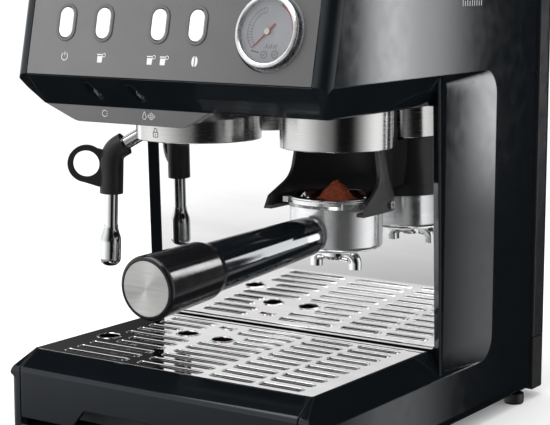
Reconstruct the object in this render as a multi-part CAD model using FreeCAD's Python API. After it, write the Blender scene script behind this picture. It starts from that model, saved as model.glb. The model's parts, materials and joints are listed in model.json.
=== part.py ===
import FreeCAD, Part
import math
import os

# Compact espresso machine with a built-in grinder.  Millimetres.  Working axes:
# x = 0 on the body's mid-plane, +x to the user's right, +y to the back, z = 0 under the feet.
# save() moves every piece so that the origin is the bottom centre of the whole machine's box.

Vec = FreeCAD.Vector

# ---- driving dimensions: housing ------------------------------------------------------
HALF_WIDTH = 142.0          # outside of the side walls
SIDE_INNER = 130.0          # inner face of the side mouldings
GAP = 0.3                   # seam between neighbouring mouldings
SKIN = 3.0                  # moulded wall
FRONT_Y = -180.4            # face of the drip tray's fascia
BODY_BACK_Y = 168.0         # seam between the side walls and the water tank
REAR_Y = 198.0              # back of the water tank
FOOT_HEIGHT = 9.0
BODY_TOP = 376.0
BAND_BACK_Y = -144.3        # lower edge of the gloss band under the control panel
HEAD_BOTTOM = 266.4
PANEL_Y = -165.0            # lower edge of the control panel
PANEL_Z = 290.3
PANEL_LEAN = 12.1           # degrees back from upright
COLUMN_Y = 9.5              # front of the rear column
TRAY_TOP = 74.8
BEVEL_Y = -161.0            # where the tray top meets the front bevel
BEVEL_Z = 62.9
FASCIA_BOTTOM = 23.5
FLOOR_TOP = 12.5            # top of the base plate
SPLASH_Y = 6.3              # front of the splash back at its foot
SPLASH_LEAN = 2.2           # degrees; its top leans forward
SPLASH_FOOT_Z = 77.2
SPLASH_THICK = 1.5
SPLASH_EDGE = 133.5         # half its width
SEAM_Z = 54.5               # top of the rear foot that carries the tank

# ---- driving dimensions: working parts -------------------------------------------------
GROUP_X = -48.0
GRIND_X = 81.0
WORK_Y = -55.0              # both collars stand this far forward
GROUP_COLLAR_R = 50.0
GRIND_COLLAR_R = 43.0
COLLAR_WALL = 2.0
COLLAR_BOTTOM = 236.5
BURR_X = 84.0
BURR_Y = 43.0
ADJUSTER_R = 62.0
ADJUSTER_Z = 354.0
ADJUSTER_HEIGHT = 10.0
HOPPER_R = 52.0
HOPPER_TOP = 404.0
LID_TOP = 410.0
BASKET_R = 35.4             # outside of the portafilter
RIM_R = 36.8
CUP_BORE_R = 31.6
CUP_BOTTOM = 161.0
RIM_Z = 200.0
LUG_R = 40.8
LUG_ANGLES = (-42.5, 77.5, 197.5)
HANDLE_Z = 174.3
HANDLE_DROOP = 2.4          # degrees below level
HANDLE_START_Y = -95.0
GRIP_LENGTH = 126.0
SLEEVE_LENGTH = 64.0
CAP_R = 18.6                # brushed cap in the end of the handle
CAP_THICK = 2.2
BUTTON_XS = {"power_button": -95.0, "one_cup_button": -59.0, "two_cup_button": -6.8,
             "grind_button": 27.4}
BUTTON_S = 40.1             # height up the panel
BUTTON_W = 12.6
BUTTON_H = 22.6
BUTTON_GAP = 0.8
BEZEL_RIM = 1.9
GAUGE_X = 90.0
GAUGE_S = 37.0
GAUGE_R = 26.3
DIAL_Y = -60.0
DIAL_Z = 330.0
DIAL_R = 19.0
BALL = Vec(-112.0, -28.0, 241.0)
WAND_BEND = Vec(-147.2, -44.5, 218.0)
WAND_END = Vec(-150.6, -44.5, 131.0)
TUBE_R = 5.6
GRIP_R = 9.8
BALL_R = 8.0
RING_TURN = 34.3            # degrees; the finger ring's plane about the vertical
RING_CENTRE = Vec(-165.4, -56.5, 207.6)
RING_R = 15.6
RING_HOLE_R = 11.2
RING_THICK = 5.6
TANK_PORT = (60.0, 183.0)
GLAND_REACH = 3.0           # how far the cord inlet stands behind the tank
CORD_X = -100.0
CORD_Z = 32.0

LEFT_REACH = (RING_CENTRE.x - RING_R * math.cos(math.radians(RING_TURN))
              - RING_THICK / 2.0 * math.sin(math.radians(RING_TURN)))
RIGHT_REACH = BURR_X + ADJUSTER_R
FRONT_REACH = HANDLE_START_Y - (GRIP_LENGTH + SLEEVE_LENGTH)
REAR_REACH = REAR_Y + GLAND_REACH
SHIFT = Vec(-(LEFT_REACH + RIGHT_REACH) / 2.0, -(FRONT_REACH + REAR_REACH) / 2.0, 0.0)


# ---- helpers ---------------------------------------------------------------------------
def outline(corners, lift):
    """Closed wire through corners (a, b) or (a, b, radius); lift maps (a, b) to a point."""
    legs = []
    for index, corner in enumerate(corners):
        here = Vec(corner[0], corner[1], 0)
        radius = corner[2] if len(corner) > 2 else 0.0
        if radius == 0.0:
            legs.append([here])
            continue
        before = corners[index - 1]
        after = corners[(index + 1) % len(corners)]
        back = (Vec(before[0], before[1], 0) - here).normalize()
        ahead = (Vec(after[0], after[1], 0) - here).normalize()
        half = back.getAngle(ahead) / 2.0
        bisector = (back + ahead).normalize()
        centre = here + bisector * (radius / math.sin(half))
        tangent = radius / math.tan(half)
        legs.append([here + back * tangent, centre - bisector * radius, here + ahead * tangent])
    edges = []
    for index, leg in enumerate(legs):
        points = [lift(point.x, point.y) for point in leg]
        if len(points) == 3:
            edges.append(Part.Arc(points[0], points[1], points[2]).toShape())
        following = legs[(index + 1) % len(legs)][0]
        start = points[-1]
        end = lift(following.x, following.y)
        if start.distanceToPoint(end) > 1e-6:
            edges.append(Part.LineSegment(start, end).toShape())
    return Part.Wire(edges)


def along_x(corners, low, high):
    """Prism along x from an outline in (y, z)."""
    face = Part.Face(outline(corners, lambda a, b: Vec(low, a, b)))
    return face.extrude(Vec(high - low, 0, 0))


def along_y(corners, low, high):
    """Prism along y from an outline in (x, z)."""
    face = Part.Face(outline(corners, lambda a, b: Vec(a, low, b)))
    return face.extrude(Vec(0, high - low, 0))


def along_z(corners, low, high):
    """Prism along z from an outline in (x, y)."""
    face = Part.Face(outline(corners, lambda a, b: Vec(a, b, low)))
    return face.extrude(Vec(0, 0, high - low))


def rect(a0, a1, b0, b1, radius=0.0):
    """Corners of a rectangle, all with one radius."""
    return [(a0, b0, radius), (a1, b0, radius), (a1, b1, radius), (a0, b1, radius)]


def box(x0, x1, y0, y1, z0, z1):
    return Part.makeBox(x1 - x0, y1 - y0, z1 - z0, Vec(x0, y0, z0))


def rod(start, direction, radius, length):
    return Part.makeCylinder(radius, length, start, direction)


def post(x, y, radius, z0, z1):
    """Upright cylinder."""
    return rod(Vec(x, y, z0), Vec(0, 0, 1), radius, z1 - z0)


def spin(profile, x=0.0, y=0.0):
    """Solid of revolution about an upright axis, from corners (radius, z[, corner radius])."""
    face = Part.Face(outline(profile, lambda a, b: Vec(a, 0, b)))
    solid = face.revolve(Vec(0, 0, 0), Vec(0, 0, 1), 360)
    solid.translate(Vec(x, y, 0))
    return solid


def union(shapes):
    whole = shapes[0]
    for shape in shapes[1:]:
        whole = whole.fuse(shape)
    return whole.removeSplitter()


def less(shape, tools):
    for tool in tools:
        shape = shape.cut(tool)
    return shape


def bent_path(points, bend):
    """Straight runs joined by tangent arcs of one radius."""
    edges = []
    start = points[0]
    for index in range(1, len(points) - 1):
        here = points[index]
        back = (points[index - 1] - here).normalize()
        ahead = (points[index + 1] - here).normalize()
        half = back.getAngle(ahead) / 2.0
        tangent = bend / math.tan(half)
        centre = here + (back + ahead).normalize() * (bend / math.sin(half))
        middle = centre + (here - centre).normalize() * bend
        edges.append(Part.LineSegment(start, here + back * tangent).toShape())
        start = here + ahead * tangent
        edges.append(Part.Arc(here + back * tangent, middle, start).toShape())
    edges.append(Part.LineSegment(start, points[-1]).toShape())
    return Part.Wire(edges)


def bar(points, bend, radius):
    """Round bar along a bent path."""
    circle = Part.Wire(Part.makeCircle(radius, points[0], points[1] - points[0]))
    return bent_path(points, bend).makePipeShell([circle], True, False)


def tube(points, bend, outer, inner):
    return bar(points, bend, outer).cut(bar(points, bend, inner))


def racetrack(x, s, width, height, z0, z1):
    """Upright slot with half-round ends in panel axes (x across, s up, z out)."""
    corners = rect(x - width / 2, x + width / 2, s - height / 2, s + height / 2, width * 0.49)
    return along_z(corners, z0, z1)


def on_panel(shape):
    """Move a shape from panel axes (x across, y up the panel, z out of it) into place."""
    shape.rotate(Vec(0, 0, 0), Vec(1, 0, 0), 90.0 - PANEL_LEAN)
    shape.translate(Vec(0, PANEL_Y, PANEL_Z))
    return shape


def on_band(shape):
    """Move a shape from band axes (x across, y down the band, z out of it) into place."""
    slope = math.degrees(math.atan2(PANEL_Z - HEAD_BOTTOM, BAND_BACK_Y - PANEL_Y))
    shape.rotate(Vec(0, 0, 0), Vec(0, 1, 0), 180.0)
    shape.rotate(Vec(0, 0, 0), Vec(1, 0, 0), -slope)
    shape.translate(Vec(0, PANEL_Y, PANEL_Z))
    return shape


def screw(head, direction, length=9.0):
    """Cross-head screw: head is the middle of its seat, direction points along the shank."""
    unit = Vec(direction).normalize()
    solid = rod(head - unit * SCREW_HEAD_H, unit, SCREW_HEAD_R, SCREW_HEAD_H)
    solid = solid.fuse(rod(head, unit, SCREW_R, length))
    slot_a = Part.makeBox(4.0, 0.9, 1.8, Vec(-2.0, -0.45, -0.9))
    slot_b = Part.makeBox(0.9, 4.0, 1.8, Vec(-0.45, -2.0, -0.9))
    cross = slot_a.fuse(slot_b)
    cross.Placement = FreeCAD.Placement(head - unit * SCREW_HEAD_H,
                                        FreeCAD.Rotation(Vec(0, 0, 1), unit))
    return solid.cut(cross)


def screw_hole(head, direction, length=9.0):
    unit = Vec(direction).normalize()
    return rod(head - unit * 0.01, unit, SCREW_R + 0.05, length + 0.3)


def mirror_x(shape):
    return shape.mirror(Vec(0, 0, 0), Vec(1, 0, 0))


def save(name, shape):
    """Write one node, moved so that the origin is the bottom centre of the machine's box."""
    if isinstance(shape, list):
        shape = Part.makeCompound(shape)
    moved = shape.copy()
    moved.translate(SHIFT)
    for solid in moved.Solids:
        if not solid.isValid() or solid.Volume <= 0:
            print("bad solid in", name)
    print(name, len(moved.Solids), round(moved.Volume / 1000.0, 2), "cm3")
    moved.exportStep(os.path.join("parts", name + ".step"))


SCREW_R = 1.5
SCREW_HEAD_R = 3.0
SCREW_HEAD_H = 1.8

# ---- housing ----------------------------------------------------------------------------
RECESS_FRONT = -260.0       # the work recess is open to the front
RIM_BACK_X = 139.4          # where the gloss rim meets the flared column side
RECESS_STEPS = (            # x, head edge z, column edge y, base edge z, corner radius
    (HALF_WIDTH + 1.0, 292.7, 118.9, 52.0, 23.0),
    (RIM_BACK_X, 282.8, COLUMN_Y, 59.2, 12.0),
    (138.0, 279.0, COLUMN_Y, 62.0, 10.0),
    (SIDE_INNER - 0.01, HEAD_BOTTOM, COLUMN_Y, 75.0, 3.0),
)
FOOT_R = 8.5
FOOT_X = 133.0
FOOT_YS = (-160.0, 151.0)


def recess_tool():
    """Flared opening cut into a side moulding around the work space."""
    wires = []
    for x, head_z, column_y, base_z, radius in RECESS_STEPS:
        corners = [(RECESS_FRONT, head_z), (column_y, head_z, radius),
                   (column_y, base_z, radius), (RECESS_FRONT, base_z)]
        wires.append(outline(corners, lambda a, b, x=x: Vec(x, a, b)))
    return [Part.makeLoft(wires[step:step + 2], True, True) for step in range(len(wires) - 1)]


def side_block():
    """Right-hand side moulding before it is hollowed: head cheek, column side and base arm."""
    top_y = PANEL_Y + (BODY_TOP - PANEL_Z) * math.tan(math.radians(PANEL_LEAN))
    corners = [(FRONT_Y, FOOT_HEIGHT, 3.0), (FRONT_Y, BEVEL_Z, 5.0), (BEVEL_Y, TRAY_TOP),
               (-100.0, 160.0), (BAND_BACK_Y, HEAD_BOTTOM), (PANEL_Y, PANEL_Z),
               (top_y, BODY_TOP, 3.0), (BODY_BACK_Y, BODY_TOP, 8.0),
               (BODY_BACK_Y, FOOT_HEIGHT, 2.0)]
    block = along_x(corners, SIDE_INNER, HALF_WIDTH)
    block = less(block, recess_tool())
    cheek = [edge for edge in block.Edges
             if abs(edge.BoundBox.XMin - HALF_WIDTH) < 0.01
             and edge.BoundBox.YMax < -140.0 and edge.BoundBox.ZMin > PANEL_Z - 1.0
             and edge.Length > 50.0]
    return block.makeFillet(9.5, cheek)


def side_moulding():
    """Right-hand side moulding, one C-shaped shell."""
    pocket = along_x([(-152.0, 299.0), (-137.0, 371.0), (162.0, 371.0), (162.0, 15.0),
                      (-172.0, 15.0), (-172.0, 46.0), (113.0, 46.0), (113.0, 299.0)],
                     SIDE_INNER - 1.0, HALF_WIDTH - SKIN)
    return side_block().cut(pocket)


def side_panels():
    right = side_moulding()
    left = mirror_x(right)
    slot = box(SIDE_INNER - 1, HALF_WIDTH + 1, BURR_Y - 31.0, BURR_Y + 31.0,
               ADJUSTER_Z - 1.2, ADJUSTER_Z + ADJUSTER_HEIGHT + 1.2)
    save("side_panel_right", right.cut(slot))
    shaft_hole = rod(Vec(-HALF_WIDTH - 1, DIAL_Y, DIAL_Z), Vec(1, 0, 0), 4.2, 16.0)
    save("side_panel_left", left.cut(shaft_hole))


def base_pan():
    edge = SIDE_INNER - GAP
    plate = box(-edge, edge, -158.0, BODY_BACK_Y + 0.6, FOOT_HEIGHT, FLOOR_TOP)
    wide = HALF_WIDTH - 0.2
    foot = along_z([(-wide, BODY_BACK_Y + 0.6, 1.0), (wide, BODY_BACK_Y + 0.6, 1.0),
                    (wide, REAR_Y, 14.0), (-wide, REAR_Y, 14.0)], FOOT_HEIGHT, SEAM_Z)
    hollow = along_z(rect(-wide + SKIN, wide - SKIN, BODY_BACK_Y + 0.6 + SKIN, REAR_Y - SKIN,
                          10.0), FOOT_HEIGHT - 1, SEAM_Z - SKIN)
    port = post(TANK_PORT[0], TANK_PORT[1], 9.6, 40.0, SEAM_Z + 1)
    cord_bore = rod(Vec(CORD_X, REAR_Y - 9.0, CORD_Z), Vec(0, 1, 0), 3.6, 20.0)
    whole = union([plate, foot.cut(hollow), cord_inlet()])
    return less(whole, [port, cord_bore] + [screw_hole(*place) for place in base_screws()])


def base_screws():
    """Four screws up through the base plate."""
    places = []
    for x in (-90.0, 90.0):
        for y in (40.0, 140.0):
            places.append((Vec(x, y, FOOT_HEIGHT), Vec(0, 0, 1)))
    return places


def cord_inlet():
    """Moulded inlet for the mains cord in the rear foot."""
    flange = rod(Vec(CORD_X, REAR_Y, CORD_Z), Vec(0, 1, 0), 9.5, GLAND_REACH)
    neck = rod(Vec(CORD_X, REAR_Y - 8.0, CORD_Z), Vec(0, 1, 0), 7.0, 8.0)
    return union([flange, neck])


def rubber_feet():
    feet = []
    for x in (-FOOT_X, FOOT_X):
        for y in FOOT_YS:
            feet.append(spin([(0, 0), (FOOT_R - 1, 0), (FOOT_R, 1.5), (FOOT_R, FOOT_HEIGHT),
                              (0, FOOT_HEIGHT)], x, y))
    return feet


def rear_cover():
    edge = SIDE_INNER - GAP
    return box(-edge, edge, BODY_BACK_Y - SKIN, BODY_BACK_Y - 0.3, FLOOR_TOP + 0.2,
               BODY_TOP - 3.4)


def splash_front(z):
    """y of the splash back's face at height z."""
    return SPLASH_Y - (z - SPLASH_FOOT_Z) * math.tan(math.radians(SPLASH_LEAN))


def rim_section(z):
    """Section of the gloss rim beside the splash back, at height z."""
    face = splash_front(z)
    corners = [(SPLASH_EDGE + 0.3, face - 0.6), (HALF_WIDTH - 1.2, face - 5.8),
               (HALF_WIDTH - 0.1, face - 4.2), (RIM_BACK_X, COLUMN_Y - 0.05),
               (SPLASH_EDGE + 0.3, COLUMN_Y - 0.05)]
    return outline(corners, lambda a, b: Vec(a, b, z))


def column_frame():
    """Gloss rims either side of the splash back, with the wall that closes the tray bay."""
    edge = SIDE_INNER - 0.1
    rim = Part.makeLoft([rim_section(50.0), rim_section(292.0)], True, True).cut(side_block())
    rim = sorted(rim.Solids, key=lambda solid: -solid.Volume)[0]
    foot = box(SIDE_INNER - 4.0, SPLASH_EDGE + 2.0, 6.4, 9.4, 62.0, 75.0)
    foot = foot.cut(side_block())
    wall = box(-edge, edge, 6.4, 9.4, FLOOR_TOP + 0.1, 75.0)
    return union([rim, mirror_x(rim), foot, mirror_x(foot), wall])


def behind_splash():
    """Everything behind the splash back's face, to cut what rests against it."""
    low, high = 100.0, 300.0
    return along_x([(splash_front(low) - 0.1, low), (60.0, low), (60.0, high),
                    (splash_front(high) - 0.1, high)], -SPLASH_EDGE, SPLASH_EDGE)


def splash_back():
    """Polished sheet that leans forward, with a narrow turned foot behind the tray."""
    lip_y = 4.2
    lip_z = SPLASH_FOOT_Z - 1.2
    top_z = HEAD_BOTTOM - 0.1
    top_y = splash_front(top_z)
    return along_x([(top_y, top_z), (SPLASH_Y, SPLASH_FOOT_Z, 1.8), (lip_y, SPLASH_FOOT_Z),
                    (lip_y, lip_z), (SPLASH_Y + SPLASH_THICK, lip_z, 2.8),
                    (top_y + SPLASH_THICK, top_z)], -SPLASH_EDGE, SPLASH_EDGE)


VISOR_BOTTOM = 254.0


def visor_corners(inset):
    return [(-129.0 + inset, HEAD_BOTTOM - 0.1), (-98.0 + inset, VISOR_BOTTOM + inset, 22.0),
            (6.0 - inset, VISOR_BOTTOM + inset, 16.0), (28.0 - inset, HEAD_BOTTOM - 0.1)]


def group_visor():
    """Satin front plate below the gloss band."""
    return along_y(visor_corners(0.0), BAND_BACK_Y, BAND_BACK_Y + 3.0)


DIMPLES = (((-74.0, 10.5), (-69.5, 20.0)), ((-33.0, 10.5), (-28.5, 20.0)))


def capsule(start, end, radius, z0, z1):
    """Slot with round ends between two points, in band axes; x is mirrored by on_band."""
    a = Vec(-start[0], start[1], z0)
    b = Vec(-end[0], end[1], z0)
    run = b - a
    middle = Part.makeBox(run.Length, 2 * radius, z1 - z0, Vec(0, -radius, 0))
    middle.Placement = FreeCAD.Placement(a, FreeCAD.Rotation(Vec(1, 0, 0), run))
    ends = [rod(a, Vec(0, 0, 1), radius, z1 - z0), rod(b, Vec(0, 0, 1), radius, z1 - z0)]
    return union([middle] + ends)


def lens_line(dimple):
    """The lower third of a dimple, where its lens sits."""
    start, end = dimple
    mix = 0.62
    upper = (start[0] + (end[0] - start[0]) * mix, start[1] + (end[1] - start[1]) * mix)
    return upper, end


def head_shell():
    """Gloss band, underside and group hood of the head, with the collar openings."""
    edge = SIDE_INNER - GAP
    shell = along_x([(PANEL_Y + 0.2, PANEL_Z - 0.4), (BAND_BACK_Y, HEAD_BOTTOM),
                     (COLUMN_Y + 4, HEAD_BOTTOM), (COLUMN_Y + 4, HEAD_BOTTOM + SKIN),
                     (BAND_BACK_Y + 1.4, HEAD_BOTTOM + SKIN), (PANEL_Y + 4.2, PANEL_Z - 0.4)],
                    -edge, edge)
    hood = along_y(visor_corners(1.2)[:-1] + [(26.8, HEAD_BOTTOM - 0.1)],
                   BAND_BACK_Y + 3.0, -62.0)
    hood = hood.fuse(along_y(rect(-120.0, 20.0, HEAD_BOTTOM - 0.2, HEAD_BOTTOM + 1.0),
                             BAND_BACK_Y + 3.0, -62.0))
    hollow = along_y([(-112.0, HEAD_BOTTOM + 5.0), (-96.0, VISOR_BOTTOM + 4.0, 4.0),
                      (4.0, VISOR_BOTTOM + 4.0, 4.0), (14.0, HEAD_BOTTOM + 5.0)],
                     BAND_BACK_Y + 6.0, -64.5)
    whole = union([shell, hood]).cut(hollow).fuse(wand_boss())
    tools = [post(GROUP_X, WORK_Y, GROUP_COLLAR_R + GAP, 230.0, HEAD_BOTTOM),
             post(GROUP_X, WORK_Y, GROUP_COLLAR_R - 2.2, 230.0, 280.0),
             post(GRIND_X, WORK_Y, 36.0, 230.0, 280.0)]
    for dimple in DIMPLES:
        tools.append(on_band(capsule(dimple[0], dimple[1], 3.8, -1.6, 2.0)))
        upper, lower = lens_line(dimple)
        tools.append(on_band(capsule(upper, lower, 1.75, -6.0, 2.0)))
    for index in range(5):
        groove_s = 18.0 + index * 2.4
        tools.append(on_band(box(-92.0, -24.0, groove_s, groove_s + 1.0, -0.9, 2.0)))
    return less(whole, tools)


def indicator_lenses():
    lenses = []
    for dimple in DIMPLES:
        upper, lower = lens_line(dimple)
        lenses.append(on_band(capsule(upper, lower, 1.65, -3.4, -0.6)))
    return lenses


PANEL_HALF = SIDE_INNER - 0.5
PANEL_TOP = 87.0


def control_panel():
    plate = along_z([(-PANEL_HALF, 0.3, 1.0), (PANEL_HALF, 0.3, 1.0),
                     (PANEL_HALF, PANEL_TOP, 1.0), (-PANEL_HALF, PANEL_TOP, 1.0)], -3.0, 0.0)
    hole_w = BUTTON_W + 2 * (BUTTON_GAP + BEZEL_RIM) + 0.1
    hole_h = BUTTON_H + 2 * (BUTTON_GAP + BEZEL_RIM) + 0.1
    tools = [rod(Vec(GAUGE_X, GAUGE_S, -5), Vec(0, 0, 1), GAUGE_R + 2.2, 10.0)]
    for x in BUTTON_XS.values():
        tools.append(racetrack(x, BUTTON_S, hole_w, hole_h, -5.0, 5.0))
    return on_panel(less(plate, tools))


def button_bezels():
    rings = []
    for x in BUTTON_XS.values():
        outer = racetrack(x, BUTTON_S, BUTTON_W + 2 * (BUTTON_GAP + BEZEL_RIM),
                          BUTTON_H + 2 * (BUTTON_GAP + BEZEL_RIM), -5.0, 0.7)
        inner = racetrack(x, BUTTON_S, BUTTON_W + 2 * BUTTON_GAP,
                          BUTTON_H + 2 * BUTTON_GAP, -6.0, 2.0)
        rings.append(on_panel(outer.cut(inner)))
    return rings


def push_button(x):
    cap = racetrack(x, BUTTON_S, BUTTON_W, BUTTON_H, -5.0, 0.9)
    stem = rod(Vec(x, BUTTON_S, -9.0), Vec(0, 0, 1), 3.0, 5.0)
    return on_panel(union([cap, stem]))


def control_board():
    board = box(-112.0, 52.0, 14.0, 70.0, -13.6, -12.0)
    parts = [board]
    for x in BUTTON_XS.values():
        parts.append(box(x - 3.0, x + 3.0, BUTTON_S - 3.0, BUTTON_S + 3.0, -12.0, -11.0))
    return on_panel(union(parts))


def gauge_housing():
    """Cup behind the panel with the dial face as its front."""
    cup = rod(Vec(GAUGE_X, GAUGE_S, -24.0), Vec(0, 0, 1), 23.0, 25.0)
    flange = rod(Vec(GAUGE_X, GAUGE_S, -6.5), Vec(0, 0, 1), GAUGE_R + 2.0, 2.5)
    pivot = rod(Vec(GAUGE_X, GAUGE_S, -3.0), Vec(0, 0, 1), 0.85, 5.0)
    nipple = rod(Vec(GAUGE_X, GAUGE_S, -30.0), Vec(0, 0, 1), 4.0, 7.0)
    return on_panel(less(union([cup, flange, nipple]), [pivot]))


def gauge_bezel():
    ring = spin([(23.1, -3.9), (GAUGE_R, -3.9), (GAUGE_R, 4.4, 1.6), (23.6, 5.2, 0.5),
                 (22.4, 4.6), (22.4, 4.2), (23.1, 4.2)])
    ring.translate(Vec(GAUGE_X, GAUGE_S, 0))
    return on_panel(ring)


def gauge_lens():
    return on_panel(rod(Vec(GAUGE_X, GAUGE_S, 3.2), Vec(0, 0, 1), 23.0, 0.9))


NEEDLE_REST = 225.0         # degrees: lower left on the dial


def gauge_needle():
    hub = rod(Vec(0, 0, 1.3), Vec(0, 0, 1), 2.3, 1.3)
    shaft = rod(Vec(0, 0, -2.4), Vec(0, 0, 1), 0.8, 4.0)
    blade = along_z([(-8.0, -0.7), (16.5, -0.22), (16.5, 0.22), (-8.0, 0.7)], 1.6, 2.1)
    needle = union([hub, shaft, blade])
    needle.rotate(Vec(0, 0, 0), Vec(0, 0, 1), NEEDLE_REST)
    needle.translate(Vec(GAUGE_X, GAUGE_S, 0))
    return on_panel(needle)


TRAY_RECT = (-122.0, 18.0, -118.0, 142.0)


def top_cover():
    edge = SIDE_INNER - GAP
    plate = along_z(rect(-edge, edge, -142.5, BODY_BACK_Y - 0.2, 1.0), BODY_TOP - 3.2, BODY_TOP)
    bay = along_z(rect(*TRAY_RECT, 8.0), BODY_TOP - 9, BODY_TOP + 1)
    return less(plate, [bay, post(BURR_X, BURR_Y, 54.0 - 9.0, 360.0, 380.0)])


def cup_tray():
    """Pressed steel cup-warming tray let into the top."""
    x0, x1, y0, y1 = TRAY_RECT
    pan = along_z(rect(x0 + 0.3, x1 - 0.3, y0 + 0.3, y1 - 0.3, 7.7), 367.0, BODY_TOP + 1.0)
    inside = along_z(rect(x0 + 1.8, x1 - 1.8, y0 + 1.8, y1 - 1.8, 6.2), 368.5, BODY_TOP + 2.0)
    tray = pan.cut(inside)
    ribs = []
    for index in range(9):
        y = y0 + 26.0 + index * 26.0
        ribs.append(along_z(rect(x0 + 16.0, x1 - 16.0, y - 3.0, y + 3.0, 2.9), 368.4, 370.2))
    return union([tray] + ribs)


# ---- brewing side ------------------------------------------------------------------------
def group_collar():
    return spin([(GROUP_COLLAR_R - COLLAR_WALL, COLLAR_BOTTOM, 0.4),
                 (GROUP_COLLAR_R, COLLAR_BOTTOM, 0.8), (GROUP_COLLAR_R, HEAD_BOTTOM - 0.1),
                 (GROUP_COLLAR_R - COLLAR_WALL, HEAD_BOTTOM - 0.1)], GROUP_X, WORK_Y)


def group_head():
    """Cast group: bayonet ring below, brewing face above."""
    ring_out = GROUP_COLLAR_R - COLLAR_WALL - 0.2
    body = spin([(36.6, 238.5), (ring_out, 238.5), (ring_out, 265.0), (47.6, 265.0),
                 (47.6, 282.0), (30.0, 296.8), (0.0, 296.8), (0.0, 252.5), (26.2, 252.5),
                 (26.2, 258.0), (36.6, 258.0)], GROUP_X, WORK_Y)
    slots = []
    for angle in LUG_ANGLES:
        slot = box(0.0, LUG_R + 1.2, -8.0, 8.0, 238.0, 244.0)
        slot = slot.fuse(box(0.0, LUG_R + 1.2, -8.0, 8.0, 243.9, 250.0))
        slot = slot.cut(post(0, 0, 30.0, 230.0, 260.0))
        slot.rotate(Vec(0, 0, 0), Vec(0, 0, 1), angle + 45.0)
        slot.translate(Vec(GROUP_X, WORK_Y, 0))
        slots.append(slot)
    return less(body, slots)


def group_gasket():
    return spin([(28.2, 250.5), (36.2, 250.5), (36.2, 257.8), (28.2, 257.8)], GROUP_X, WORK_Y)


def shower_screen():
    plate = spin([(0, 249.5), (27.6, 249.5, 0.6), (27.6, 252.3), (0, 252.3)], GROUP_X, WORK_Y)
    holes = []
    for ring, count in ((8.0, 8), (15.0, 14), (22.0, 20)):
        for index in range(count):
            angle = 2 * math.pi * index / count
            holes.append(post(GROUP_X + ring * math.cos(angle), WORK_Y + ring * math.sin(angle),
                              0.8, 249.0, 253.0))
    return less(plate, holes)


def thermoblock():
    block = along_z(rect(-95.0, -8.0, -112.0, -5.0, 8.0), 297.0, 338.0)
    fins = []
    for index in range(6):
        y = -100.0 + index * 17.0
        fins.append(box(-88.0, -15.0, y, y + 8.0, 334.0, 339.0))
    return less(block, fins)


def steam_valve():
    body = along_x(rect(DIAL_Y - 16.0, DIAL_Y + 16.0, DIAL_Z - 14.0, DIAL_Z + 14.0, 4.0),
                   -126.0, -98.0)
    bore = rod(Vec(-130.0, DIAL_Y, DIAL_Z), Vec(1, 0, 0), 3.05, 18.0)
    return body.cut(bore)


def steam_dial():
    """Selector knob on the left wall with a grip bar across it."""
    knob = rod(Vec(-HALF_WIDTH - 0.5, DIAL_Y, DIAL_Z), Vec(-1, 0, 0), DIAL_R, 10.0)
    knob = knob.makeFillet(2.0, [edge for edge in knob.Edges
                                 if abs(edge.BoundBox.XMax + HALF_WIDTH + 10.5) < 0.1])
    grip = along_x(rect(DIAL_Y - 4.5, DIAL_Y + 4.5, DIAL_Z - 17.5, DIAL_Z + 17.5, 4.0),
                   -HALF_WIDTH - 19.5, -HALF_WIDTH - 9.5)
    shaft = rod(Vec(-HALF_WIDTH - 1.0, DIAL_Y, DIAL_Z), Vec(1, 0, 0), 3.0, 27.0)
    return union([knob, grip, shaft])


PUMP_Y = 90.0
PUMP_Z = 74.0


def vibration_pump():
    coil = rod(Vec(-96.0, PUMP_Y, PUMP_Z), Vec(1, 0, 0), 22.0, 52.0)
    barrel = rod(Vec(-116.0, PUMP_Y, PUMP_Z), Vec(1, 0, 0), 9.0, 98.0)
    bracket = box(-92.0, -48.0, PUMP_Y - 20.0, PUMP_Y + 20.0, FLOOR_TOP + 0.1, PUMP_Z - 12.0)
    return union([coil, barrel, bracket])


HOSE_R = 3.0
FEED_ROUTE = [Vec(60.0, 154.8, 40.0), Vec(60.0, 108.0, 40.0), Vec(24.0, PUMP_Y, 58.0),
              Vec(12.0, PUMP_Y, PUMP_Z), Vec(-17.9, PUMP_Y, PUMP_Z)]
PRESSURE_ROUTE = [Vec(-116.1, PUMP_Y, PUMP_Z), Vec(-124.8, PUMP_Y, PUMP_Z),
                  Vec(-124.8, PUMP_Y, 305.0), Vec(-80.0, 24.0, 318.0), Vec(-80.0, -4.9, 318.0)]


def water_hoses():
    """Feed from the tank to the pump, and pressure line from the pump to the thermoblock."""
    return [bar(FEED_ROUTE, 7.0, HOSE_R), bar(PRESSURE_ROUTE, 7.0, HOSE_R)]


# ---- steam wand ----------------------------------------------------------------------------
def wand_boss():
    """Boss under the head, moulded with it, that the wand's cup turns against."""
    return spin([(0, 252.4), (9.0, 252.4), (13.0, 256.0), (13.0, HEAD_BOTTOM + 0.5),
                 (0, HEAD_BOTTOM + 0.5)], BALL.x, BALL.y)


def wand_cup():
    """Turning cup that carries the ball, open below for the tube."""
    cup = spin([(0, 245.5), (11.0, 245.5, 1.0), (11.0, 250.0, 2.0), (8.0, 252.0), (0, 252.0)],
               BALL.x, BALL.y)
    return cup.cut(Part.makeSphere(BALL_R + 0.08, BALL))


def wand_tube():
    line = [BALL, WAND_BEND, WAND_END]
    pipe = bar(line, 14.0, TUBE_R)
    return union([pipe, Part.makeSphere(BALL_R, BALL)])


def toward(start, end, distance):
    return start + (end - start).normalize() * distance


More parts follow.
